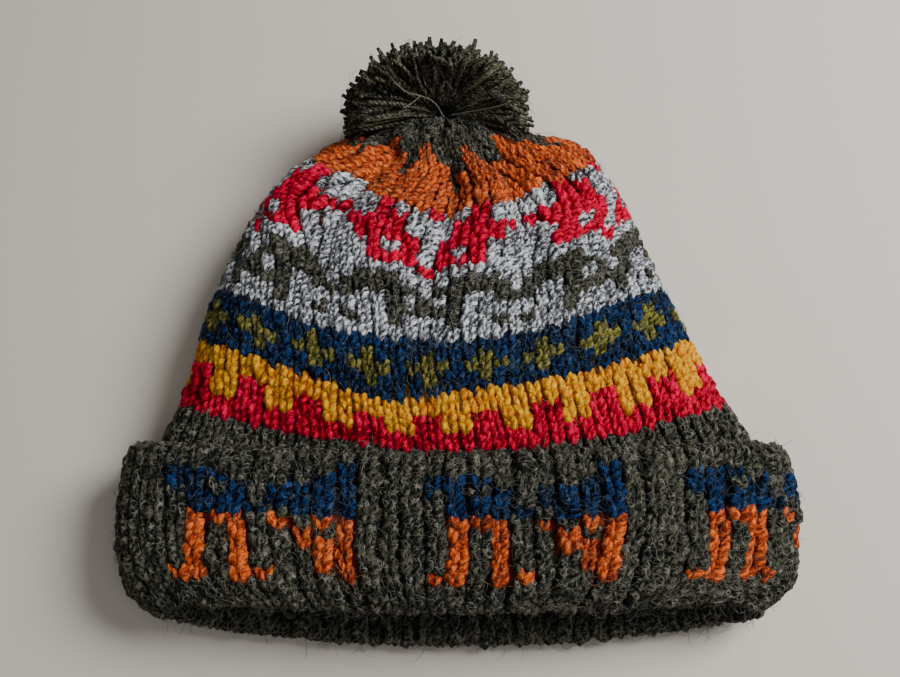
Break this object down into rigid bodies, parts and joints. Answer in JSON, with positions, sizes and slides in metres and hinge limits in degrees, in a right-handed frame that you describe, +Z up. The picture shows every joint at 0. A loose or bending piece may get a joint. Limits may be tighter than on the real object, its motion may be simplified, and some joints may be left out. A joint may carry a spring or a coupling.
{
  "type": "pom-pom hat",
  "caption": "Hand-knitted winter hat lying on its back: a gathered colour-work crown, a turned-up ribbed cuff and a yarn pom-pom on the drawn-in top",
  "frame": {"origin": "middle of the hat's footprint as it lies, on the floor", "axes": "+Z up from the floor, +Y from the brim to the pom-pom, +X to the right seen from above with the pom-pom at the top"},
  "size_m": [0.2404, 0.2224, 0.0728],
  "materials": {
    "forest_wool": "matt heathered wool in dark forest green, ribbed and knitted, with pale fibres",
    "grey_marl_wool": "matt wool, pale and dark grey fibres spun together, in knit stitches",
    "crimson_wool": "matt crimson wool in knit stitches",
    "mustard_wool": "slightly glossy mustard wool in knit stitches",
    "blue_wool": "matt deep blue wool in knit stitches",
    "olive_wool": "matt olive wool in knit stitches",
    "rust_wool": "rust orange wool in knit stitches with a slight lustre",
    "pompom_wool": "cut ends of twisted dark green yarn"
  },
  "bodies": {
    "root": {"crown": "grey_marl_wool", "cuff": "forest_wool", "pompom": "pompom_wool"}
  },
  "joints": []
}
